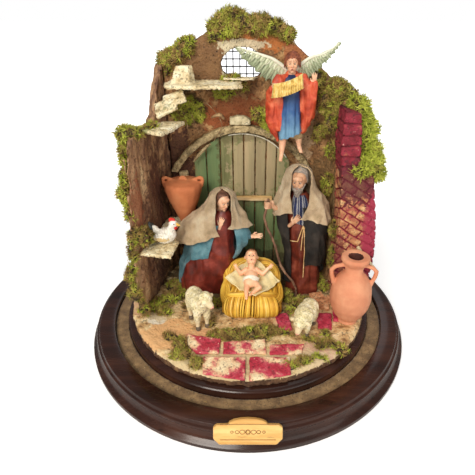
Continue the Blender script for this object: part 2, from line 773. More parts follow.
def build_grille():
    """A woven-wire sheet behind the window, as a lattice of square gaps."""
    width = 2 * (WINDOW_HALF_WIDTH + GRILLE_MARGIN)
    height = 2 * (WINDOW_HALF_HEIGHT + GRILLE_MARGIN)
    columns, rows = GRILLE_COLUMNS, GRILLE_ROWS
    step_x = (width - GRILLE_WIRE) / columns
    step_z = (height - GRILLE_WIRE) / rows
    xs = [-width / 2 + edge for i in range(columns + 1) for edge in (i * step_x, i * step_x + GRILLE_WIRE)]
    zs = [-height / 2 + edge for i in range(rows + 1) for edge in (i * step_z, i * step_z + GRILLE_WIRE)]
    work = bmesh.new()
    grid = [[work.verts.new((x, 0.0, z)) for x in xs] for z in zs]
    for row in range(len(zs) - 1):
        for column in range(len(xs) - 1):
            if row % 2 and column % 2:
                continue
            work.faces.new((
                grid[row][column], grid[row][column + 1],
                grid[row + 1][column + 1], grid[row + 1][column],
            ))
    made = bmesh.ops.extrude_face_region(work, geom=work.faces[:])
    moved = [item for item in made["geom"] if isinstance(item, bmesh.types.BMVert)]
    bmesh.ops.translate(work, verts=moved, vec=(0, GRILLE_WIRE, 0))
    mesh = bpy.data.meshes.new("window_grille")
    work.to_mesh(mesh)
    work.free()
    obj = add_object("window_grille", mesh, "wire", smooth=False)
    obj.location = (WINDOW_X, WALL_FRONT_Y + WALL_THICKNESS + CLEARANCE, WINDOW_Z)


# Door and arch


def arch_height(x, radius):
    """Height of an arch about the door's centre at a place across it."""
    across = min(abs(x - DOOR_CENTRE_X), radius)
    return DOOR_CROWN - DOOR_ARCH_RADIUS + (radius ** 2 - across ** 2) ** 0.5


def build_door():
    """Eight upright planks under the arch, and the broken batten across them."""
    left = DOOR_CENTRE_X - DOOR_WIDTH / 2
    total = sum(PLANK_SHARES)
    back = WALL_FRONT_Y - CLEARANCE
    x = left
    for number, share in enumerate(PLANK_SHARES, 1):
        width = DOOR_WIDTH * share / total
        start, end = x + PLANK_GAP / 2, x + width - PLANK_GAP / 2
        tops = [arch_height(start + (end - start) * part / 3, DOOR_ARCH_RADIUS) for part in range(4)]
        outline = [(start, STANDING_LEVEL), (end, STANDING_LEVEL)]
        outline += [(start + (end - start) * part / 3, tops[part]) for part in (3, 2, 1, 0)]
        plank = extruded(f"door_plank_{number}", outline, 0.0, PLANK_THICKNESS, "green_plank", bevel=0.0004)
        plank.rotation_euler = (pi / 2, 0, 0)
        plank.location = (0, back, 0)
        x += width
    centre = (BATTEN_X, back - PLANK_THICKNESS - CLEARANCE - BATTEN_DEPTH / 2, BATTEN_Z)
    block("door_batten", centre, (BATTEN_LENGTH, BATTEN_DEPTH, BATTEN_HEIGHT), "cream_cork", bevel=0.0005)


def arch_path(inner, steps, low_angle, high_angle):
    """Points along the arch, from its left end to its right end."""
    centre_z = DOOR_CROWN - DOOR_ARCH_RADIUS
    path = []
    for step in range(steps + 1):
        angle = radians(low_angle + (high_angle - low_angle) * step / steps)
        path.append(Vector((DOOR_CENTRE_X + inner * cos(angle), centre_z + inner * sin(angle))))
    return path


def build_arch():
    """Cork strip over the door, spreading at its ends, the rim wire, keystone and left post."""
    back = WALL_FRONT_Y - CLEARANCE
    centre_z = DOOR_CROWN - DOOR_ARCH_RADIUS
    near = DOOR_ARCH_RADIUS + CLEARANCE + PLANK_GAP
    inner, outer = [], []
    for step in range(ARCH_STEPS + 1):
        angle = ARCH_LEFT_ANGLE + (ARCH_RIGHT_ANGLE - ARCH_LEFT_ANGLE) * step / ARCH_STEPS
        spread = ARCH_SPREAD * max(0.0, abs(angle - 90) / 68 - 0.1) ** 2.2
        for ring, radius in ((inner, near + spread), (outer, near + spread + ARCH_STRIP_WIDTH)):
            turn = radians(angle)
            ring.append(Vector((DOOR_CENTRE_X + radius * cos(turn), centre_z + radius * sin(turn))))
    rings = []
    for index, (low, high) in enumerate(zip(inner, outer)):
        depth = ARCH_STRIP_DEPTH * (1 + 0.12 * wobble(low.x, 0, low.y, 0.006, 1.0))
        front = back - depth
        rings.append([
            Vector((low.x, back, low.y)), Vector((high.x, back, high.y)),
            Vector((high.x, front + 0.0010, high.y)),
            Vector((high.x * 0.97 + low.x * 0.03, front, high.y - 0.0008)),
            Vector((low.x, front, low.y)),
        ])
    loft("arch_strip", rings, "cream_cork", smooth=False)
    wire_y = back - PLANK_THICKNESS - CLEARANCE - ARCH_WIRE_DIAMETER / 2
    radius = DOOR_ARCH_RADIUS - ARCH_WIRE_DIAMETER / 2 - CLEARANCE
    route = [Vector((p.x, wire_y, p.y)) for p in arch_path(radius, 16, 104, 34)]
    tube("arch_wire", route, [ARCH_WIRE_DIAMETER / 2] * len(route), 6, "wire")
    crown = DOOR_CROWN + CLEARANCE + PLANK_GAP + ARCH_STRIP_WIDTH
    half = KEYSTONE_WIDTH / 2
    outline = [(-half, 0.0), (half * 0.9, 0.0), (half, 0.45 * KEYSTONE_HEIGHT)]
    outline += [(half * 0.6, KEYSTONE_HEIGHT * 0.9), (-half * 0.2, KEYSTONE_HEIGHT)]
    outline += [(-half * 1.05, 0.8 * KEYSTONE_HEIGHT)]
    stone = extruded("keystone", outline, 0.0, KEYSTONE_DEPTH, "cream_cork", bevel=0.0006)
    stone.rotation_euler = (pi / 2, 0, 0)
    stone.location = (DOOR_CENTRE_X - 0.0010, back, crown + CLEARANCE)
    height = POST_TOP - STANDING_LEVEL
    centre = (POST_X, back - POST_DEPTH / 2, STANDING_LEVEL + height / 2)
    block("door_post", centre, (POST_WIDTH, POST_DEPTH, height), "cream_cork", bevel=0.0006)


# Ledges and shelves


def build_ledges():
    """Broken slabs under the window and the two shelves of the left wall."""
    wall = (WALL_FRONT_Y - WALL_CLEARANCE) / MM
    outline = ((-57, wall), (-59, 27), (-57, 17), (-46, 13), (-33, 12), (-22, 14), (-11, 13), (-4, 18))
    outline += ((-5, wall),)
    low, high = LEDGE_Z, LEDGE_Z + LEDGE_THICKNESS
    corners = [(x * MM, y * MM) for x, y in outline]
    slab = extruded("ledge_slab", corners, low, high, "cream_cork", bevel=0.0005)
    rock = extruded(
        "ledge_rock", [(-0.0085, -0.006), (0.007, -0.0065), (0.0085, 0.006), (-0.006, 0.0065)],
        -0.002, LEDGE_BLOCK_HEIGHT, "cream_cork",
    )
    for point in rock.data.vertices:
        if point.co.z > 0:
            point.co.x *= 0.62
            point.co.y = point.co.y * 0.5 + 0.004
    rock.location = (-0.0455, 0.0270, high)
    rock.rotation_euler = (0, 0, radians(-8))
    boolean(slab, rock, "UNION")
    outline = ((-17, wall), (-18, 35), (-6, 33), (4, 34), (7, wall))
    low = high + CLEARANCE
    corners = [(x * MM, y * MM) for x, y in outline]
    extruded("sill_slab", corners, low, low + SILL_THICKNESS, "cream_cork", bevel=0.0004)
    upper = block(
        "roof_slabs", (-0.0505, 0.0165, LEDGE_Z - 0.0062), (0.0150, 0.0140, SLAB_THICKNESS),
        "cream_cork", rotation=(radians(24), radians(-18), radians(10)), bevel=0.0005,
    )
    lower = block(
        "roof_lower", (-0.0565, 0.0140, LEDGE_Z - 0.0110), (0.0160, 0.0150, SLAB_THICKNESS * 0.95),
        "cream_cork", rotation=(radians(30), radians(-24), radians(4)), bevel=0.0005,
    )
    boolean(upper, lower, "UNION")
    rest = STANDING_LEVEL + LEFT_WALL_HEIGHT + WALL_CLEARANCE
    outline = ((-76, 4), (-72, -6), (-62, -13), (-55, -17.5), (-50, -4), (-44.5, 18), (-56, 19), (-69, 10.5))
    shelf = [(x * MM, y * MM) for x, y in outline]
    extruded("upper_shelf", shelf, rest, rest + UPPER_SHELF_THICKNESS, "cream_cork", bevel=0.0006)
    middle = LOWER_SHELF_Z + LOWER_SHELF_THICKNESS / 2
    side = [(left_inner_x(y * MM, middle) + WALL_CLEARANCE, y * MM) for y in (34, 23, 12, -2, -17, -27)]
    front = ((-54, -32), (-51.5, -10), (-57.5, 0), (-58, 12), (-55.5, 19), (-49, 24), (-43, 28), (-41, 33))
    outline = side + [(x * MM, y * MM) for x, y in front]
    high = LOWER_SHELF_Z + LOWER_SHELF_THICKNESS
    extruded("lower_shelf", outline, LOWER_SHELF_Z, high, "cream_cork", bevel=0.0005)


def left_inner_x(y, z):
    """Where the left wall's inner face is at a place along it and a height."""
    for one, two in zip(LEFT_STATIONS, LEFT_STATIONS[1:]):
        y0, y1 = one[1] * MM, two[1] * MM
        if y0 <= y <= y1:
            share = (y - y0) / (y1 - y0)
            x = (one[0] + (two[0] - one[0]) * share) * MM
            lean = one[5] + (two[5] - one[5]) * share
            return x * (1 - lean * INNER_LEAN * (z - STANDING_LEVEL) / 0.1)
    return LEFT_STATIONS[0][0] * MM


# Brick pier

# Outline of the pier's front: x in mm, height as a share of the whole height
PIER_OUTLINE = (
    (68.0, 0.000), (92.0, 0.000), (95.0, 0.120), (96.5, 0.260), (94.5, 0.420),
    (91.0, 0.560), (87.0, 0.703), (76.5, 0.715), (75.5, 0.860), (73.0, 0.985),
    (62.5, 1.000), (62.0, 0.840), (64.5, 0.700), (67.0, 0.480), (67.0, 0.260),
)


def build_pier():
    """A bulging pier of thin bricks, level courses above and slanting courses below."""
    outline = [(x * MM, STANDING_LEVEL + share * PIER_HEIGHT) for x, share in PIER_OUTLINE]
    pier = extruded("brick_pier", outline, 0.0, PIER_DEPTH, "red_brick")
    pier.rotation_euler = (pi / 2, 0, 0)
    pier.location = (0, PIER_FRONT_Y + PIER_DEPTH, 0)
    work = bmesh.new()
    shoulder = STANDING_LEVEL + PIER_SHOULDER
    low = STANDING_LEVEL + 0.010
    middle_x = 0.0790
    courses = int((PIER_HEIGHT - PIER_SHOULDER) / BRICK_COURSE)
    for course in range(courses):
        z = shoulder + 0.006 + course * BRICK_COURSE
        add_bar(work, (0.0660, PIER_FRONT_Y, z), 0.030, 0.0)
    slanted = int((PIER_SHOULDER - 0.030) / BRICK_COURSE) + 1
    for course in range(slanted):
        z = low + 0.010 + course * BRICK_COURSE
        add_bar(work, (middle_x, PIER_FRONT_Y, z), 0.060, COURSE_SLOPE)
    cut_with(pier, work)
    work = bmesh.new()
    for course in range(slanted - 1):
        for side in (-1, 0, 1):
            along = (side + (0.5 if course % 2 else 0.0)) * BRICK_LENGTH
            x = middle_x + along * cos(COURSE_SLOPE)
            z = low + 0.010 + (course + 0.5) * BRICK_COURSE + along * sin(COURSE_SLOPE)
            if not 0.0680 < x < 0.0900 or z > shoulder - 0.006:
                continue
            upright = BRICK_COURSE * 0.86 * cos(COURSE_SLOPE)
            add_bar(work, (x, PIER_FRONT_Y, z), upright, COURSE_SLOPE + pi / 2)
    cut_with(pier, work)


def add_bar(work, centre, length, slope):
    """Add one mortar line to a cutter: a thin bar lying in the pier's face."""
    made = bmesh.ops.create_cube(work, size=1.0)
    place = Matrix.Translation(centre) @ Matrix.Rotation(-slope, 4, "Y")
    place = place @ Matrix.Diagonal((length, 2 * MORTAR_DEPTH, MORTAR_WIDTH, 1.0))
    bmesh.ops.transform(work, matrix=place, verts=made["verts"])


def triangulate(mesh):
    """Split a mesh's faces into triangles."""
    work = bmesh.new()
    work.from_mesh(mesh)
    bmesh.ops.triangulate(work, faces=work.faces)
    work.to_mesh(mesh)
    work.free()


def cut_with(obj, work):
    """Cut the shapes gathered in a mesh out of an object."""
    mesh = bpy.data.meshes.new("mortar_lines")
    work.to_mesh(mesh)
    work.free()
    cutter = add_object("mortar_cutter", mesh, "red_brick", smooth=False)
    boolean(obj, cutter, "DIFFERENCE")


# Vessels


def handle_loop(name, start, bulge, end, thickness, finish):
    """A bent handle from one place to another, swelling outwards between them."""
    route = smooth_route([start, bulge, end], (Vector(end) - Vector(start)).length / 5)
    return tube(name, route, [thickness / 2] * len(route), 6, finish)


def build_amphora():
    """The large vessel: wide flat rim, short neck, two loop handles and a small foot."""
    tall, body, rim = AMPHORA_HEIGHT, AMPHORA_RADIUS, AMPHORA_RIM_RADIUS
    neck = 0.62 * rim
    profile = [
        (0.0, 0.0), (0.46 * body, 0.0), (0.50 * body, 0.02 * tall), (0.46 * body, 0.05 * tall),
        (0.72 * body, 0.14 * tall), (0.93 * body, 0.27 * tall), (body, 0.40 * tall),
        (0.95 * body, 0.54 * tall), (0.74 * body, 0.68 * tall), (neck * 1.02, 0.77 * tall),
        (neck, 0.86 * tall), (0.92 * rim, 0.93 * tall), (rim, 0.96 * tall),
        (0.95 * rim, tall), (AMPHORA_MOUTH_RADIUS * 1.15, tall),
        (AMPHORA_MOUTH_RADIUS, tall - 0.0010),
        (AMPHORA_MOUTH_RADIUS, tall - AMPHORA_MOUTH_DEPTH), (0.0, tall - AMPHORA_MOUTH_DEPTH),
    ]
    vessel = turned("amphora", profile, 18, "terracotta")
    for side in (-1, 1):
        start = (side * neck * 0.85, 0, 0.88 * tall)
        bulge = (side * body * 1.02, 0, 0.80 * tall)
        end = (side * body * 0.86, 0, 0.58 * tall)
        grip = handle_loop("amphora_handle", start, bulge, end, AMPHORA_HANDLE_THICKNESS, "terracotta")
        boolean(vessel, grip, "UNION")
    vessel.location = (AMPHORA_X, AMPHORA_Y, STANDING_LEVEL)
    vessel.rotation_euler = (0, 0, radians(-6))


def build_jar():
    """The narrow-footed jar on the shelf, with ear loops at its shoulder and one on its lid."""
    tall, body = JAR_HEIGHT, JAR_RADIUS
    profile = [
        (0.0, 0.0), (0.27 * body, 0.0), (0.30 * body, 0.03 * tall), (0.52 * body, 0.24 * tall),
        (0.78 * body, 0.50 * tall), (0.96 * body, 0.74 * tall), (body, 0.84 * tall),
        (0.93 * body, 0.91 * tall), (0.62 * body, 0.95 * tall), (0.20 * body, 0.97 * tall),
        (0.0, 0.97 * tall),
    ]
    jar = turned("shelf_jar", profile, 15, "terracotta")
    for side in (-1, 1):
        grip = handle_loop(
            "jar_ear", (side * 0.45 * body, 0, 0.94 * tall), (side * 0.98 * body, 0, 1.0 * tall),
            (side * 0.97 * body, 0, 0.80 * tall), JAR_HANDLE_THICKNESS, "terracotta",
        )
        boolean(jar, grip, "UNION")
    ring = []
    for step in range(9):
        angle = pi * step / 8
        ring.append(Vector((0.0024 * cos(angle), 0, 0.955 * tall + 0.0026 * sin(angle))))
    knob = tube("jar_knob", ring, [0.0011] * len(ring), 6, "terracotta")
    boolean(jar, knob, "UNION")
    jar.location = (JAR_X, JAR_Y, LOWER_SHELF_Z + LOWER_SHELF_THICKNESS + CLEARANCE)


def build_twig():
    """A short broken twig beside the pier."""
    near = PIER_FRONT_Y - CLEARANCE - TWIG_DIAMETER / 2
    start = Vector((TWIG_HIGH_X, near, TWIG_HIGH_Z))
    end = Vector((TWIG_LOW_X, near - 0.0030, TWIG_LOW_Z))
    middle = start.lerp(end, 0.5) + Vector((0.0006, 0, -0.0006))
    route = smooth_route([start, middle, end], TWIG_DIAMETER * 2)
    radii = [TWIG_DIAMETER / 2 * (1.0 - 0.25 * index / (len(route) - 1)) for index in range(len(route))]
    tube("broken_twig", route, radii, 8, "cream_cork")


# Figures


class Garment:
    """The clothed shape of a figure: stacked oval sections, swollen where an arm lies under the cloth.

    Sections are (height, centre x, centre y, half width, half depth) in mm for a figure of the
    nominal height; swells are (angle, height, amount, angle spread, height spread).
    """

    def __init__(self, height, nominal, sections, swells=()):
        self.scale = height / nominal
        self.sections = sections
        self.swells = swells

    def section(self, level):
        """Centre and half sizes at a height in nominal mm."""
        ordered = sorted(self.sections)
        if level <= ordered[0][0]:
            return ordered[0][1:]
        for low, high in zip(ordered, ordered[1:]):
            if level <= high[0]:
                share = (level - low[0]) / (high[0] - low[0])
                return tuple(a + (b - a) * share for a, b in zip(low[1:], high[1:]))
        return ordered[-1][1:]

    def point(self, angle, level, offset=0.0):
        """A point of the surface, an offset in metres outside it."""
        centre_x, centre_y, wide, deep = self.section(level)
        turn = radians(angle)
        extra = 0.0
        for at, height, amount, spread, rise in self.swells:
            away = (angle - at + 180) % 360 - 180
            extra += amount * 2.718281828 ** (-((away / spread) ** 2) - ((level - height) / rise) ** 2)
        x = (centre_x + (wide + extra) * cos(turn)) * self.scale + offset * cos(turn)
        y = (centre_y + (deep + extra) * sin(turn)) * self.scale + offset * sin(turn)
        return Vector((x, y, level * self.scale))


def build_gown(name, garment, top, finish, parent, folds, hand=None):
    """The body of a figure in its gown, pleated towards the hem, with the hand laid on the breast."""
    levels = sorted({section[0] for section in garment.sections if section[0] <= top} | {top})
    rings = []
    for level in levels:
        ring = []
        for step in range(20):
            angle = 360 * step / 20
            pleat = 0.0007 * (1 - level / top) * sin(radians(angle * folds))
            ring.append(garment.point(angle, level, pleat))
        rings.append(ring)
    body = loft(name, rings, finish)
    if hand:
        boolean(body, hand, "UNION")
        keep_largest(body)
    body.parent = parent
    return body


def build_drape(
    name, garment, edges, top, bottoms, offset, folds, finish, parent, columns=20, rows=8, pole=False
):
    """Cloth hung over a figure: a thin sheet round it, open in front, with hanging folds.

    Edges are the start and end angles at the top and at the bottom; bottoms are the hem's
    heights at the start, middle and end of the sheet.
    """
    (start_top, end_top), (start_low, end_low) = edges
    outer = []
    for row in range(rows + 1):
        t = row / rows
        line = []
        for column in range(columns + 1):
            s = column / columns
            hem = bottoms[1]
            if s < 0.35:
                hem = bottoms[0] + (bottoms[1] - bottoms[0]) * s / 0.35
            elif s > 0.65:
                hem = bottoms[1] + (bottoms[2] - bottoms[1]) * (s - 0.65) / 0.35
            level = top + (hem - top) * t
            start = start_top + (start_low - start_top) * t
            end = end_top + (end_low - end_top) * t
            angle = start + (end - start) * s
            fold = folds[0] * t * (0.5 + 0.5 * sin(radians(angle * folds[1] + folds[2])))
            line.append(garment.point(angle, level, offset + CLOTH_THICKNESS + fold))
        outer.append(line)
    if pole:
        middle = garment.section(top)
        tip = Vector((middle[0] * garment.scale, middle[1] * garment.scale, top * garment.scale))
        outer[0] = [tip.copy() for _ in outer[0]]
    inner = []
    for row, line in enumerate(outer):
        made = []
        for column, point in enumerate(line):
            along = line[min(column + 1, columns)] - line[max(column - 1, 0)]
            down = outer[min(row + 1, rows)][column] - outer[max(row - 1, 0)][column]
            normal = down.cross(along)
            if row == 0 and pole:
                normal = Vector((0, 0, 1))
            normal.normalize()
            made.append(point - normal * CLOTH_THICKNESS)
        inner.append(made)
    return sheet_solid(name, outer, inner, finish, parent)


KNEELING_GOWN = (
    (0, -2, 2, 20.5, 14.5), (12, -2, 2, 21, 15), (26, 0, 1, 19.5, 13.5), (40, 3, -0.4, 17.3, 11.6),
    (54, 7, -1, 15.5, 10.5), (64, 11, -2, 12, 8.2), (69, 13, -2, 6, 5.5), (72, 13.5, -2, 4, 4),
)
KNEELING_VEIL = (
    (88, 13.5, -2.5, 0, 0), (86.8, 13.5, -2.5, 5.2, 5.8), (84, 13.5, -2.2, 8.2, 9), (79, 13, -2, 9.2, 9.9),
    (74, 12, -1.8, 10.6, 10.4), (68, 9.5, -1.8, 16, 12), (60, 5, -1.6, 20.6, 13), (52, 2.4, -1.4, 22.8, 14.2),
    (44, 0.6, -1, 23.8, 15.4),
)
STANDING_GOWN = (
    (0, 0, 0, 12.5, 10), (15, 0, 0, 12, 9.5), (40, -1, 1, 11, 9), (60, -3, 2, 11.5, 8.5),
    (72, -4.5, 3, 11, 8), (80, -6, 3.5, 7.5, 6.5), (84, -6.5, 4, 4, 4),
)
STANDING_HOOD = (
    (103, -7.5, 4, 0, 0), (101.8, -7.5, 4, 5.2, 5.8), (99, -7.5, 4, 8.2, 9), (94, -7.5, 4, 9.2, 9.9),
    (88, -7, 4, 10, 10.2), (82, -5.8, 3.6, 13.6, 11), (74, -4.5, 3, 17.2, 11.6), (64, -3.4, 2.5, 18.4, 12),
    (52, -3, 2, 18.8, 12.4),
)


def head_blobs(centre, size, turn):
    """Skull, jaw, nose, chin and neck of a head of a given height, turned about Z."""
    spin = Matrix.Rotation(radians(turn), 3, "Z")

    def at(x, y, z):
        return Vector(centre) + spin @ Vector((x, y, z)) * size

    return [
        ellipsoid(at(0, 0.04, 0.06), (0.36 * size, 0.41 * size, 0.43 * size)),
        ellipsoid(at(0, -0.10, -0.18), (0.27 * size, 0.27 * size, 0.27 * size)),
        ellipsoid(at(0, -0.40, -0.04), (0.055 * size, 0.07 * size, 0.10 * size)),
        ellipsoid(at(0, -0.30, -0.36), (0.10 * size, 0.08 * size, 0.07 * size)),
        limb(at(0, 0.05, -0.20), at(0, 0.06, -0.75), 0.20 * size, 0.24 * size),
    ]


def hand_blobs(wrist, palm, tips, width):
    """A small hand: wrist, palm and a spread of fingers."""
    wrist, palm, tips = Vector(wrist), Vector(palm), Vector(tips)
    along = (tips - palm).normalized()
    across = along.orthogonal().normalized() * width
    blobs = [limb(wrist, palm, width * 0.75, width * 0.95)]
    for share in (-0.75, -0.25, 0.25, 0.75):
        blobs.append(limb(palm + across * share, tips + across * share, width * 0.46, width * 0.38))
    blobs.append(limb(palm - across * 0.8, palm - across * 1.5 + along * width, width * 0.40, width * 0.32))
    return blobs


def build_kneeling():
    """The kneeling figure: body, teal mantle, linen veil, head and the hand held out."""
    size = KNEELING_HEIGHT / 88
    reach = KNEELING_CORNER * size
    root = empty("kneeling_root", (KNEELING_CORNER_X + reach, KNEELING_CORNER_Y - reach, STANDING_LEVEL))
    gown = Garment(KNEELING_HEIGHT, 88, KNEELING_GOWN)
    breast = gown.point(262, 58, 0.0004)
    hand = moulded(
        "breast_hand", hand_blobs(
            breast + Vector((-5, 1.0, -6)) * size, breast + Vector((-1.5, -0.4, -1)) * size,
            breast + Vector((2.5, 0.2, 4)) * size, 1.9 * size,
        ), "skin", 0.55 * size, 160,
    )
    build_gown("kneeling_gown", gown, 72, "oxblood", root, 7, hand)
    swells = ((-18, 49, 11.0, 34, 15), (200, 6, 2.5, 40, 22))
    mantle = Garment(KNEELING_HEIGHT, 88, KNEELING_GOWN, swells)
    build_drape(
        "kneeling_mantle", mantle, ((-62, 236), (-14, 204)), 62, (36, 4, 4), MANTLE_GAP,
        (0.0018, 6, 20), "teal", root, rows=7,
    )
    veil_swells = ((-18, 54, 9.5, 36, 12),)
    veil = Garment(KNEELING_HEIGHT, 88, KNEELING_VEIL, veil_swells)
    build_drape(
        "kneeling_veil", veil, ((-14, 236), (-66, 246)), 88, (57, 50, 45), 0.0,
        (0.0015, 5, 60), "linen", root, columns=20, rows=8, pole=True,
    )
    centre = Vector((13.5, -3.5, 78.9)) * size
    moulded(
        "kneeling_head", head_blobs(centre, 14.6 * size, 35), "skin", 0.6 * size, 360, root,
        floor=72 * size + CLEARANCE,
    )
    moulded(
        "kneeling_hand", hand_blobs(
            Vector((34.6, -8.4, 50.4)) * size, Vector((38.0, -9.4, 53.2)) * size,
            Vector((44.5, -10.5, 53.5)) * size, 1.9 * size,
        ), "skin", 0.5 * size, 220, root,
    )


def build_standing():
    """The standing bearded figure: body, black mantle, linen hood, head, raised hand, staff, belt."""
    size = STANDING_HEIGHT / 103
    place = Vector((0.0455, 0.0080, STANDING_LEVEL))
    root = empty("standing_root", place)
    gown = Garment(STANDING_HEIGHT, 103, STANDING_GOWN)
    breast = gown.point(252, 66, 0.0)
    hand = moulded(
        "breast_hand", hand_blobs(
            breast + Vector((-5, 1.6, -4)) * size, breast + Vector((-1, -0.4, -1.5)) * size,
            breast + Vector((1.8, -0.2, 3)) * size, 1.9 * size,
        ), "skin", 0.55 * size, 160,
    )
    build_gown("standing_gown", gown, 84, "oxblood", root, 6, hand)
    swells = ((186, 66, 6.0, 40, 24), (-6, 54, 5, 46, 34))
    mantle = Garment(STANDING_HEIGHT, 103, STANDING_GOWN, swells)
    build_drape(
        "standing_mantle", mantle, ((-78, 226), (-66, 236)), 74, (24, 9, 9), MANTLE_GAP,
        (0.0018, 6, 40), "black_cloth", root, rows=7,
    )
    hood = Garment(STANDING_HEIGHT, 103, STANDING_HOOD, ((186, 66, 1.5, 40, 16), (-8, 60, 1.0, 46, 24)))
    build_drape(
        "standing_hood", hood, ((-58, 226), (-84, 233)), 103, (59, 54, 67), 0.0,
        (0.0015, 5, 10), "linen", root, columns=20, rows=8, pole=True,
    )
    centre = Vector((-7.6, 1.8, 92.6)) * size
    beard = [
        ellipsoid(centre + Vector((-0.3, -5.0, -6.6)) * size, Vector((3.6, 2.6, 4.4)) * size),
        ellipsoid(centre + Vector((-0.3, -4.0, -3.8)) * size, Vector((4.4, 2.4, 2.6)) * size),
    ]
    moulded(
        "standing_head", head_blobs(centre, 15.4 * size, -6) + beard, "skin", 0.6 * size, 400, root,
        floor=84 * size + CLEARANCE,
    )
    grip = place + Vector((-30.0, -6.8, 76.5)) * size
    radius = STAFF_DIAMETER / 2
    foot = Vector((0.0395, -0.0045, STANDING_LEVEL + 0.0004))
    route = smooth_route([
        grip + Vector((0.0004, 0, 0.0050)), grip, Vector((grip.x - 0.0024, grip.y, grip.z - 0.012)),
        Vector((0.0205, -0.0010, 0.0730)), Vector((0.0265, -0.0040, 0.0530)),
        Vector((0.0372, -0.0065, 0.0390)), foot,
    ], STAFF_DIAMETER * 4)
    thick = [radius * (1 + 0.18 * wobble(p.x, p.y, p.z, 0.006, 2.0)) for p in route]
    tube("staff", route, thick, 6, "bare_twig")
    fist = [
        ellipsoid(grip + Vector((2.4, 1.4, 0)) * size, Vector((2.6, 2.6, 2.9)) * size),
        limb(
            grip + Vector((2.6, 1.8, -0.8)) * size, grip + Vector((5.4, 3.6, -3.4)) * size,
            2.0 * size, 2.1 * size,
        ),
    ]
    for lift in (-1.9, -0.6, 0.7, 2.0):
        fist.append(limb(
            grip + Vector((1.6, -1.2, lift)) * size, grip + Vector((-1.4, -1.6, lift)) * size,
            0.75 * size, 0.65 * size,
        ))
    palm = moulded("standing_hand", fist, "skin", 0.5 * size, 180)
    bore = smooth_route(route, STAFF_DIAMETER)
    reach = [max(thick) + CLEARANCE] * len(bore)
    boolean(palm, tube("staff_bore", bore, reach, 10, "skin"), "DIFFERENCE")
    build_belt(gown, place)


def build_belt(gown, place):
    """A thin string belt: from the waist its two tails hang down the gown, joined by the knot."""
    route = []
    stops = ((246, 47), (254, 52), (262, 57), (268, 60), (270, 54), (268, 40), (266, 26), (265, 17))
    for angle, level in stops:
        route.append(place + gown.point(angle, level, BELT_DIAMETER / 2 + 0.0008))
    cord_curve("string_belt", route, BELT_DIAMETER, "string")


# Manger and child

# Section of the folded bundle, front to back: shares of its depth and height
STRAW_SECTION = (
    (0.08, 0.00), (0.01, 0.08), (-0.01, 0.24), (0.02, 0.38), (0.10, 0.46), (0.22, 0.50), (0.36, 0.56),
    (0.52, 0.68), (0.68, 0.88), (0.82, 1.00), (0.93, 0.92), (0.99, 0.66), (1.00, 0.30), (0.95, 0.00),
)


def straw_taper(x):
    """How far the bundle keeps its full section at a place across it."""
    side = abs(x - STRAW_X) / (STRAW_WIDTH / 2)
    return 1.0 - 0.20 * min(1.0, side) ** 3


def straw_top(x, y):
    """Height of the bundle's upper surface, over its ridges."""
    share = (y - STRAW_FRONT_Y) / STRAW_DEPTH
    chain = STRAW_SECTION[4:11]
    height = chain[0][1] if share < chain[0][0] else chain[-1][1]
    for low, high in zip(chain, chain[1:]):
        if low[0] <= share <= high[0]:
            height = low[1] + (high[1] - low[1]) * (share - low[0]) / (high[0] - low[0])
    return STANDING_LEVEL + height * STRAW_HEIGHT * straw_taper(x) + STRAND_RELIEF


def build_straw():
    """The folded straw bundle: strands side by side, bent over a front roll and a back roll."""
    rings = []
    count = 2 * STRAW_STRANDS
    middle = Vector((STRAW_FRONT_Y + STRAW_DEPTH / 2, STANDING_LEVEL + STRAW_HEIGHT * 0.40))
    for index in range(count + 1):
        x = STRAW_X - STRAW_WIDTH / 2 + STRAW_WIDTH * index / count
        taper = straw_taper(x)
        relief = STRAND_RELIEF if index % 2 else 0.0
        ring = []
        for across, up in STRAW_SECTION:
            y = STRAW_FRONT_Y + STRAW_DEPTH * (0.5 + (across - 0.5) * taper)
            z = STANDING_LEVEL + up * STRAW_HEIGHT * taper
            away = (Vector((y, z)) - middle).normalized() * relief
            flat = 0.0 if up == 0.0 else away.y
            narrow = 1 - STRAW_NARROWING * max(0.0, across)
            ring.append(Vector((STRAW_X + (x - STRAW_X) * narrow, y + away.x, z + flat)))
        rings.append(ring)
    loft("straw_bundle", rings, "straw")


def build_sheet():
    """The cream cloth laid over the straw, its front corner pulled down between the strands."""
    rows, columns = 8, 10
    outer, inner = [], []
    for row in range(rows + 1):
        t = row / rows
        y = 0.0020 - 0.0310 * t
        line, under = [], []
        for column in range(columns + 1):
            s = column / columns
            half = 0.0165 + 0.0030 * t - 0.0140 * max(0.0, t - 0.55) / 0.45
            x = STRAW_X + 0.0005 + half * (2 * s - 1)
            ripple = 0.0005 * (1 + sin(9 * s + 5 * t))
            z = straw_top(x, y) + CLOTH_GAP + ripple
            line.append(Vector((x, y, z + SHEET_THICKNESS)))
            under.append(Vector((x, y, z)))
        outer.append(line)
        inner.append(under)
    sheet_solid("swaddling_cloth", outer, inner, "cream_cloth")


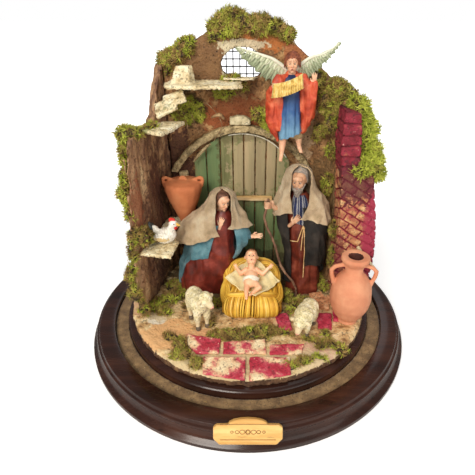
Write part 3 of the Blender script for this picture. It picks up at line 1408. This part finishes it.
def build_infant():
    """The small moulded child lying on the cloth with its arms out and its legs crossed."""
    low, high = straw_top(STRAW_X, INFANT_Y), straw_top(STRAW_X, INFANT_Y + 0.008)
    slope = (high - low) / 0.008
    base = Vector((0.0025, INFANT_Y, low + CLOTH_GAP + SHEET_THICKNESS + INFANT_LIFT))

    def at(x, y, z):
        return base + Vector((x, y, z + slope * y * (1 if y > 0 else 0.72))) * MM

    head = at(0.2, 9.0, 6.0)
    blobs = [
        ellipsoid(head, (0.0053, 0.0056, 0.0060)),
        ellipsoid(head + Vector((0, -0.0048, 0.0036)), (0.0007, 0.0008, 0.0008)),
        limb(head + Vector((0, -0.003, -0.002)), at(0, 1.5, 4.6), 0.0021, 0.0032),
        ellipsoid(at(0, -0.5, 4.4), (0.0053, 0.0062, 0.0042)),
        ellipsoid(at(-0.6, -6.0, 4.4), (0.0054, 0.0048, 0.0044)),
        limb(at(-4.0, 2.2, 5.4), at(-8.0, 2.6, 4.2), 0.0022, 0.0018),
        limb(at(-8.0, 2.6, 4.2), at(-11.6, 4.4, 7.4), 0.0018, 0.0014),
        limb(at(4.2, 2.2, 5.4), at(9.5, 2.2, 5.0), 0.0022, 0.0018),
        limb(at(9.5, 2.2, 5.0), at(14.6, 4.2, 8.0), 0.0018, 0.0014),
        limb(at(-2.4, -7.0, 4.4), at(-3.6, -12.5, 5.6), 0.0029, 0.0024),
        limb(at(-3.6, -12.5, 5.6), at(-3.6, -18.0, 4.6), 0.0022, 0.0016),
        limb(at(2.6, -7.0, 4.6), at(6.4, -12.0, 6.6), 0.0029, 0.0024),
        limb(at(6.4, -12.0, 6.6), at(0.4, -16.0, 5.0), 0.0022, 0.0017),
    ]
    moulded("infant", blobs, "skin", 0.0007, 540)


# Angel


def build_angel():
    """The flying figure: moulded body with mantle, paired wings with their pin, pleated gilt band."""
    origin = Vector((ANGEL_X, ANGEL_Y, ANGEL_HEAD_Z))

    def at(x, y, z):
        return origin + Vector((x, y, z)) * MM

    blobs = [
        ellipsoid(at(0, -1, 0), (0.0050, 0.0052, 0.0066)),
        ellipsoid(at(0, 0.6, 1.4), (0.0056, 0.0055, 0.0062)),
        ellipsoid(at(-0.2, -6.0, -0.8), (0.0007, 0.0008, 0.0010)),
        limb(at(0, 0, -4), at(0, 0.5, -10), 0.0024, 0.0034),
        ellipsoid(at(0, 1, -15), (0.0090, 0.0054, 0.0070)),
        limb(at(0, 1, -16), at(0, 1, -34), 0.0066, 0.0078),
        limb(at(0, 1, -34), at(1.5, 1, -49), 0.0078, 0.0090),
        limb(at(-8, 0, -12), at(-13, -2, -22), 0.0046, 0.0040),
        limb(at(-13, -2, -22), at(-13, -7.5, -15), 0.0036, 0.0026),
        limb(at(8, 0, -12), at(14, -1, -22), 0.0046, 0.0042),
        limb(at(14, -1, -22), at(15, -4.5, -10), 0.0034, 0.0022),
        ellipsoid(at(15.2, -4.8, -8), (0.0022, 0.0016, 0.0034)),
        ellipsoid(at(-12.6, -8.6, -14), (0.0028, 0.0020, 0.0026)),
        limb(at(-12, 0, -20), at(-13, 1, -38), 0.0050, 0.0046),
        limb(at(-13, 1, -38), at(-8, 2, -54), 0.0046, 0.0026),
        limb(at(-9, 0, -14), at(-7, -1, -44), 0.0048, 0.0046),
        limb(at(13, 0, -20), at(13.5, 1, -34), 0.0052, 0.0056),
        limb(at(13.5, 1, -34), at(9, 2, -46), 0.0056, 0.0036),
        limb(at(-3.6, 0, -47), at(-4.6, 0, -62), 0.0031, 0.0021),
        limb(at(-4.6, 0, -62), at(-5.6, -3.0, -66.0), 0.0020, 0.0018),
        limb(at(6.5, 2.5, -47), at(8.4, 3.4, -58), 0.0031, 0.0021),
        limb(at(8.4, 3.4, -58), at(9.6, 0.8, -61), 0.0020, 0.0018),
    ]
    moulded("angel_figure", blobs, "orange_mantle", 0.0009, 860)
    build_wings(origin)
    build_ribbon(origin)


WING_OUTLINE = (
    (0.0, -14.0), (3.0, -6.5), (9.0, -2.0), (16.0, 1.6), (24.0, 4.6), (31.0, 6.4), (37.0, 9.0), (33.0, 4.4),
    (34.0, 3.4), (28.5, 0.8), (29.0, -0.8), (24.0, -3.0), (24.0, -5.4), (19.0, -6.8), (18.0, -9.8),
    (12.5, -11.0), (10.0, -13.6), (4.0, -14.8),
)


def build_wings(origin):
    """Two spread wings with notched trailing feathers, on one bar that pins them to the wall."""
    back = origin.y + ANGEL_BACK + CLEARANCE
    pieces = []
    for side in (-1, 1):
        reach, lift = (1.0, 0.0) if side < 0 else (0.84, 0.10)
        outline = [(side * x * reach * MM, (z + lift * x) * MM) for x, z in WING_OUTLINE]
        wing = extruded(f"wing_{side}", outline, 0.0, WING_THICKNESS, "wing", bevel=0.0004)
        wing.rotation_euler = (pi / 2, 0, 0)
        wing.location = (origin.x + side * 0.0012, back + WING_THICKNESS, origin.z - 0.0005)
        bpy.context.view_layer.update()
        wing.data.transform(wing.matrix_world)
        wing.matrix_world = Matrix.Identity(4)
        triangulate(wing.data)
        for point in wing.data.vertices:
            reach = abs(point.co.x - origin.x) / 0.036
            point.co.y -= 0.0040 * reach * reach
        pieces.append(wing)
    bar = block("wing_bar", (origin.x, back + WING_THICKNESS / 2, origin.z - 0.0110),
                (0.0090, WING_THICKNESS + 0.0008, 0.0060), "wing")
    wall = WALL_FRONT_Y - CLEARANCE
    start = Vector((origin.x, back + WING_THICKNESS * 0.5, origin.z - 0.0110))
    pin = tube("angel_pin", [start, (start.x, wall, start.z)], [ANGEL_PIN_DIAMETER / 2] * 2, 8, "wire")
    joined([pieces[0], bar, pieces[1], pin], "angel_wings")


def build_ribbon(origin):
    """The pleated gilt band that the angel holds before its breast."""
    front, back = [], []
    count = 2 * RIBBON_PLEATS
    for index in range(count + 1):
        share = index / count
        x = RIBBON_LENGTH * (share - 0.5)
        bow = -0.0030 * (1 - (2 * share - 1) ** 2)
        pleat = 0.0007 if index % 2 else -0.0007
        sag = 0.0020 * (2 * share - 1) + 0.0012 * (2 * share - 1) ** 2
        front.append((x, bow + pleat, sag))
        back.append((x, bow + pleat + RIBBON_THICKNESS, sag))
    rings = []
    for (x, y, z), (_, y_back, _) in zip(front, back):
        half = RIBBON_HEIGHT / 2
        rings.append([Vector((x, y, z - half)), Vector((x, y, z + half)),
                      Vector((x, y_back, z + half)), Vector((x, y_back, z - half))])
    ribbon = loft("angel_ribbon", rings, "gilt", smooth=False)
    ribbon.location = origin + Vector((-0.0010, -0.0118, -0.0130))


# Animals


def build_sheep():
    """Two moulded sheep: one looking towards the manger, one grazing."""
    unit = SHEEP_LENGTH / 0.024

    def sheep(name, place, turn, head, muzzle, back, faces):
        root = Vector((place[0] * MM, place[1] * MM, STANDING_LEVEL))
        spin = Matrix.Rotation(radians(turn), 3, "Z")

        def at(x, y, z):
            return root + spin @ Vector((x, y, z)) * unit * MM

        blobs = [
            ellipsoid(at(0, 0, back), (0.0118 * unit, 0.0070 * unit, 0.0074 * unit), (0, 0, turn)),
            ellipsoid(at(5, 0, back + 1.5), (0.0070 * unit, 0.0064 * unit, 0.0070 * unit)),
            limb(at(8, 0, back + 3), at(*head), 0.0048 * unit, 0.0042 * unit),
            ellipsoid(at(*head), (0.0050 * unit, 0.0046 * unit, 0.0050 * unit)),
            limb(at(*head), at(*muzzle), 0.0038 * unit, 0.0022 * unit),
            limb(at(-11, 0, back + 2), at(-13, 0, back - 6), 0.0020 * unit, 0.0014 * unit),
        ]
        for side in (-1, 1):
            root_of_ear = at(head[0] - 1, 4 * side, head[2] + 1)
            tip = at(head[0] - 2, 7.5 * side, head[2] - 1.4)
            blobs.append(limb(root_of_ear, tip, 0.0015 * unit, 0.0011 * unit))
        for x, y in ((7, 3.6), (7, -3.6), (-7.5, 3.6), (-7.5, -3.6)):
            blobs.append(limb(at(x, y, back - 3), at(x, y, 1.2), 0.0028 * unit, 0.0017 * unit))
        moulded(name, blobs, "fleece", 0.0010 * unit, faces, floor=STANDING_LEVEL)

    sheep("sheep_left", (-36.5, -37.5), -62, (12.5, 1.5, 28.0), (17.5, 3.5, 25.0), 19.5, 420)
    sheep("sheep_right", (42.0, -43.5), -118, (12.5, 0, 13.5), (16.0, 0, 8.0), 13.0, 380)


def build_hen():
    """A sitting hen on the lower shelf, with raised tail, comb and beak."""
    unit = HEN_LENGTH / 0.020
    root = Vector((-0.0605, -0.0130, LOWER_SHELF_Z + LOWER_SHELF_THICKNESS + CLEARANCE))
    spin = Matrix.Rotation(radians(-12), 3, "Z")

    def at(x, y, z):
        return root + spin @ Vector((x, y, z)) * unit * MM

    def radii(*values):
        return [value * unit for value in values]

    blobs = [
        ellipsoid(at(0, 0, 6.0), radii(0.0076, 0.0056, 0.0058), (0, -12, -12)),
        ellipsoid(at(3.6, 0, 7.6), radii(0.0048, 0.0046, 0.0054), (0, 0, -12)),
        limb(at(4.6, 0, 10.5), at(6.8, 0, 16.0), 0.0033 * unit, 0.0026 * unit),
        ellipsoid(at(7.2, 0, 16.6), radii(0.0031, 0.0028, 0.0030)),
        limb(at(9.0, 0, 16.2), at(11.6, 0, 15.6), 0.0012 * unit, 0.0006 * unit),
        limb(at(6.2, 0, 19.4), at(8.4, 0, 19.0), 0.0009 * unit, 0.0011 * unit),
        limb(at(8.6, 0, 14.6), at(8.6, 0, 12.8), 0.0009 * unit, 0.0011 * unit),
        limb(at(-5.2, 0, 8.2), at(-9.6, 0, 15.0), 0.0031 * unit, 0.0018 * unit),
        ellipsoid(at(-1.2, 4.4, 6.6), radii(0.0060, 0.0020, 0.0036), (0, -10, -12)),
        ellipsoid(at(-1.2, -4.4, 6.6), radii(0.0060, 0.0020, 0.0036), (0, -10, -12)),
    ]
    moulded("hen", blobs, "white_feather", 0.0007 * unit, 420, floor=root.z)


# Moss


def moss_along(name, fronts, backs, first, last, drops, finish, height=1.0):
    """Moss laid over a wall's top edge between two of its stations, hanging down in front."""
    rings = []
    count = last - first
    for index in range(first, last + 1):
        share = (index - first) / count
        fade = 0.30 + 0.70 * sin(pi * min(max(share, 0.04), 0.96)) ** 0.6
        inner, outer = fronts[index][-1], backs[index][-1]
        across = Vector((outer.x - inner.x, outer.y - inner.y, 0))
        width = across.length
        across.normalize()
        bump = 1 + 0.35 * wobble(inner.x, inner.y, 0.0, 0.009, 7.0)
        high = MOSS_HEIGHT * height * fade * bump
        out = MOSS_FRONT * fade * bump
        drop = drops * (0.45 + 0.55 * fade) * (1 + 0.3 * wobble(inner.x, 0.3, 0.1, 0.008, 9.0))
        gap = WALL_CLEARANCE + MOSS_CLEARANCE
        section = (
            (-gap, -drop), (-gap - 0.7 * out, -drop * 0.92), (-gap - out, -drop * 0.5),
            (-gap - 0.9 * out, 0.1 * high), (-0.2 * width, high * 0.9), (0.4 * width, high),
            (width + 0.5 * out, high * 0.6), (width + gap + 0.6 * out, -0.0015),
            (width + gap + 0.4 * out, -0.0045), (width + gap, -0.0045),
            (width + gap, gap), (-gap, gap),
        )
        rings.append([inner + across * s + Vector((0, 0, z)) for s, z in section])
    return loft(name, rings, finish)


def build_moss():
    """The four main clumps: over the crest, on the left shoulder, on the right wall and on the pier."""
    fronts, backs = back_wall_grids()
    moss_along("moss_crest", fronts, backs, 3, 8, 0.0120, "moss", 1.15)
    moss_along("moss_shoulder", fronts, backs, 0, 2, 0.0100, "moss", 0.9)
    moss_along("moss_right", fronts, backs, 10, 12, 0.0240, "moss", 1.0)
    shoulder = STANDING_LEVEL + PIER_SHOULDER
    blobs = [
        ellipsoid((0.0845, 0.0010, shoulder + 0.0080), (0.0090, 0.0100, 0.0090)),
        ellipsoid((0.0890, 0.0020, shoulder + 0.0010), (0.0070, 0.0085, 0.0090)),
        ellipsoid((0.0830, 0.0040, shoulder + 0.0200), (0.0078, 0.0085, 0.0110)),
        ellipsoid((0.0790, 0.0060, shoulder + 0.0330), (0.0060, 0.0075, 0.0090)),
        ellipsoid((0.0755, -0.0080, shoulder + 0.0045), (0.0080, 0.0050, 0.0060)),
        ellipsoid((0.0740, 0.0070, shoulder + 0.0440), (0.0070, 0.0070, 0.0060)),
    ]
    moss = moulded("moss_pier", blobs, "moss_bright", 0.0022, 360)
    outline = [(x * MM, STANDING_LEVEL + share * PIER_HEIGHT) for x, share in PIER_OUTLINE]
    cutter = extruded("pier_cutter", outline, 0.0, PIER_DEPTH, "moss")
    cutter.rotation_euler = (pi / 2, 0, 0)
    cutter.location = (0, PIER_FRONT_Y + PIER_DEPTH, 0)
    swell_mesh(cutter.data, 2 * WALL_CLEARANCE)
    boolean(moss, cutter, "DIFFERENCE")
    keep_largest(moss)


def swell_mesh(mesh, amount):
    """Move a mesh's points out along their normals."""
    normals = [point.normal.copy() for point in mesh.vertices]
    for point, normal in zip(mesh.vertices, normals):
        point.co += normal * amount


def keep_largest(obj):
    """Drop the small crumbs that a cut leaves beside the main body."""
    work = bmesh.new()
    work.from_mesh(obj.data)
    islands = []
    waiting = set(work.verts)
    while waiting:
        stack = [waiting.pop()]
        island = set(stack)
        while stack:
            for edge in stack.pop().link_edges:
                for point in edge.verts:
                    if point not in island:
                        island.add(point)
                        waiting.discard(point)
                        stack.append(point)
        islands.append(island)
    islands.sort(key=len, reverse=True)
    for island in islands[1:]:
        bmesh.ops.delete(work, geom=list(island), context="VERTS")
    work.to_mesh(obj.data)
    work.free()


def main():
    """Model the whole object."""
    clear_scene()
    build_base()
    build_ground()
    build_plate()
    build_paving()
    build_walls()
    build_grille()
    build_door()
    build_arch()
    build_ledges()
    build_pier()
    build_amphora()
    build_jar()
    build_twig()
    build_kneeling()
    build_standing()
    build_straw()
    build_sheet()
    build_infant()
    build_angel()
    build_sheep()
    build_hen()
    build_moss()


main()
